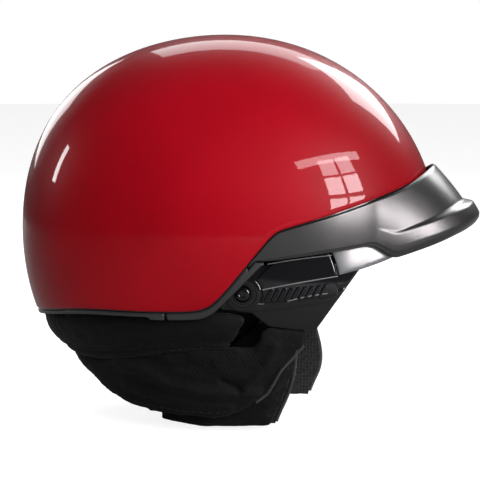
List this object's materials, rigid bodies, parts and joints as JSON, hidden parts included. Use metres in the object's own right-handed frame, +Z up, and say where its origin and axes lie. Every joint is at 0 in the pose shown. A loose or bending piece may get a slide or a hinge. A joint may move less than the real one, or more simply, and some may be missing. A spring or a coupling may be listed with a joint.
{
  "type": "motorcycle helmet",
  "caption": "Open-face motorcycle helmet: glossy red shell, grey peak, drop-down sun shield, black side plates, fabric neck skirt and chin strap.",
  "frame": {"origin": "on the floor plane under the hems of the ear flaps, centred in the plan of the whole helmet", "axes": "+Z up, -Y out of the front of the helmet (peak), +X the wearer's left, -X the wearer's right"},
  "size_m": [0.236, 0.318, 0.266],
  "materials": {
    "red_shell": "deep red clear-coated gloss",
    "peak_grey": "satin mid grey",
    "trim_grey": "satin dark grey",
    "gloss_black": "gloss black",
    "lens": "lightly smoked clear polycarbonate",
    "steel": "bright",
    "foam": "black moulded foam",
    "knit_lining": "black spacer mesh",
    "skirt_fabric": "black soft woven cloth, padded",
    "webbing": "black woven webbing",
    "tongue_black": "satin",
    "lever_red": "satin red"
  },
  "bodies": {
    "helmet": {"outer_shell": "red_shell", "eps_liner": "foam", "crown_pad": "knit_lining", "brow_pad": "knit_lining", "temple_pad_right": "knit_lining", "temple_pad_left": "knit_lining", "nape_pad": "knit_lining", "flap_lining_right": "knit_lining", "flap_lining_left": "knit_lining", "peak_visor": "peak_grey", "rear_trim": "trim_grey", "side_trim_right": "trim_grey", "side_trim_left": "trim_grey", "side_plate_right": "gloss_black", "side_plate_left": "gloss_black", "pivot_screw_right": "gloss_black", "pivot_screw_left": "gloss_black", "strap_rivet_right": "steel", "strap_rivet_left": "steel", "strap_washer_right": "steel", "strap_washer_left": "steel", "neck_roll": "skirt_fabric", "neck_curtain": "skirt_fabric", "ear_flap_right": "skirt_fabric", "ear_flap_left": "skirt_fabric"},
    "sun_shield": {"sun_shield_lens": "lens", "shield_arm_right": "gloss_black", "shield_arm_left": "gloss_black", "shield_grip_right": "gloss_black", "shield_grip_left": "gloss_black", "shield_hub_right": "gloss_black", "shield_hub_left": "gloss_black"},
    "chin_strap": {"buckle_frame": "steel", "lever_pin": "steel", "chin_strap_right": "webbing", "chin_strap_left": "webbing", "ratchet_tongue": "tongue_black"},
    "buckle_lever_body": {"buckle_lever": "lever_red"}
  },
  "joints": [
    {"name": "sun_shield_hinge", "type": "hinge", "parent": "helmet", "child": "sun_shield", "pos_m": [0, -0.00488, 0.0985], "axis": [1, 0, 0], "range_deg": [0, 20]},
    {"name": "chin_strap_swing", "type": "hinge", "parent": "helmet", "child": "chin_strap", "pos_m": [0, -0.03188, 0.1], "axis": [1, 0, 0], "range_deg": [-25, 25]},
    {"name": "buckle_lever_hinge", "type": "hinge", "parent": "chin_strap", "child": "buckle_lever_body", "pos_m": [0.028, -0.01358, 0.02], "axis": [0, 1, 0], "range_deg": [-30, 0], "stiffness_Nm_per_rad": 0.005, "springref_deg": 20.05}
  ]
}
